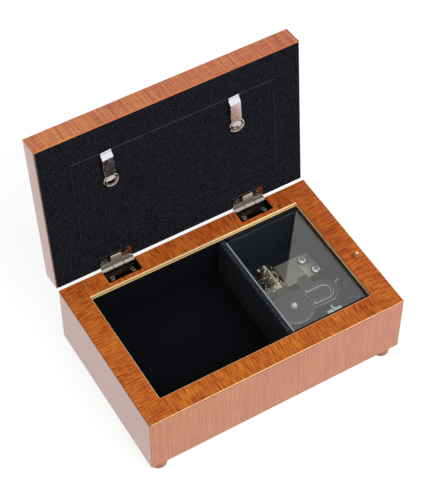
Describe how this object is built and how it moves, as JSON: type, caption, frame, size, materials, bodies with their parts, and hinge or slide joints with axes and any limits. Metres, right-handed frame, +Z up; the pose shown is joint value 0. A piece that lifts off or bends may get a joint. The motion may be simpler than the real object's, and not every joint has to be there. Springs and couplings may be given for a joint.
{
  "type": "music box",
  "caption": "Wooden musical jewellery box with its lid open, a felt lined well, and a wind-up comb movement under a clear pane that the closing lid stops.",
  "frame": {"origin": "middle of the bottom panel's underside, between the feet", "axes": "+X to the right along the hinge side, +Y to the back where the hinges are, +Z up"},
  "size_m": [0.17, 0.1355, 0.1568],
  "materials": {
    "veneer": "orange brown figured veneer under gloss lacquer",
    "bottom_board": "dark matt board",
    "foot_wood": "dark brown satin",
    "felt": "black flocked felt",
    "felt_board": "thin board covered with black felt",
    "clear_pane": "clear sheet, polished",
    "card": "plain pale card",
    "nickel": "bright nickel plate",
    "steel": "ground steel",
    "spring_steel": "blued spring steel",
    "zinc": "grey cast metal",
    "brass": "bright brass",
    "nylon": "pale translucent plastic"
  },
  "bodies": {
    "box": {"wall_front": "veneer", "wall_back": "veneer", "wall_left": "veneer", "wall_right": "veneer", "bottom_panel": "bottom_board", "rim_front": "veneer", "rim_back": "veneer", "rim_left": "veneer", "rim_right": "veneer", "foot_front_left": "foot_wood", "foot_front_right": "foot_wood", "foot_back_left": "foot_wood", "foot_back_right": "foot_wood", "well_lining": "felt", "divider": "felt_board", "movement_lining": "felt", "window_pane": "clear_pane", "hinge_left_lower_leaf": "nickel", "hinge_left_lower_screw_a": "nickel", "hinge_left_lower_screw_b": "nickel", "hinge_right_lower_leaf": "nickel", "hinge_right_lower_screw_a": "nickel", "hinge_right_lower_screw_b": "nickel", "bedplate": "zinc", "comb": "steel", "comb_screw_back": "nickel", "comb_screw_front": "nickel", "spring_housing": "zinc", "mainspring": "spring_steel", "governor_bracket": "zinc", "mounting_screw_back": "nickel", "mounting_screw_front": "nickel"},
    "lid": {"lid_rail_front": "veneer", "lid_rail_back": "veneer", "lid_rail_left": "veneer", "lid_rail_right": "veneer", "lid_glazing": "clear_pane", "insert_card": "card", "backing_panel": "felt_board", "lid_felt": "felt", "hinge_left_upper_leaf": "nickel", "hinge_left_upper_screw_a": "nickel", "hinge_left_upper_screw_b": "nickel", "hinge_left_pin": "steel", "hinge_right_upper_leaf": "nickel", "hinge_right_upper_screw_a": "nickel", "hinge_right_upper_screw_b": "nickel", "hinge_right_pin": "steel", "clip_left_rivet": "nickel", "clip_right_rivet": "nickel"},
    "clip_left": {"clip_left": "nickel"},
    "clip_right": {"clip_right": "nickel"},
    "stop": {"stop_pin": "steel", "stop_wire": "steel"},
    "drive": {"winding_key": "nickel", "arbor": "steel", "drive_wheel": "brass"},
    "cylinder": {"cylinder": "brass"},
    "governor_shaft": {"governor_wheel": "brass"},
    "fan": {"governor_worm": "nylon"}
  },
  "joints": [
    {"name": "lid_hinge", "type": "hinge", "parent": "box", "child": "lid", "pos_m": [0, 0.0546, 0.0414], "axis": [1, 0, 0], "range_deg": [0, 95.4]},
    {"name": "clip_left_swivel", "type": "hinge", "parent": "lid", "child": "clip_left", "pos_m": [-0.0423, 0.06229, 0.10898], "axis": [0, -0.9956, 0.0941], "continuous": true},
    {"name": "clip_right_swivel", "type": "hinge", "parent": "lid", "child": "clip_right", "pos_m": [0.0403, 0.06229, 0.10898], "axis": [0, -0.9956, 0.0941], "continuous": true},
    {"name": "stop_slide", "type": "slide", "parent": "box", "child": "stop", "axis": [0, 0, 1], "range_m": [-0.0051, 0]},
    {"name": "key_turn", "type": "hinge", "parent": "box", "child": "drive", "pos_m": [0.0358, -0.0138, 0], "axis": [0, 0, 1], "continuous": true},
    {"name": "cylinder_turn", "type": "hinge", "parent": "box", "child": "cylinder", "pos_m": [0.0358, 0, 0.0156], "axis": [0, 1, 0], "continuous": true},
    {"name": "governor_turn", "type": "hinge", "parent": "box", "child": "governor_shaft", "pos_m": [0.0568, -0.0138, 0.01394], "axis": [1, 0, 0], "continuous": true},
    {"name": "fan_turn", "type": "hinge", "parent": "box", "child": "fan", "pos_m": [0.0568, -0.0263, 0.01859], "axis": [0, 1, 0], "continuous": true}
  ],
  "couplings": [
    {"joint": "stop_slide", "follows": "lid_hinge", "m_per_rad": -0.0030029},
    {"joint": "cylinder_turn", "follows": "key_turn", "ratio": 2.5},
    {"joint": "governor_turn", "follows": "key_turn", "ratio": 4},
    {"joint": "fan_turn", "follows": "key_turn", "ratio": 40}
  ]
}
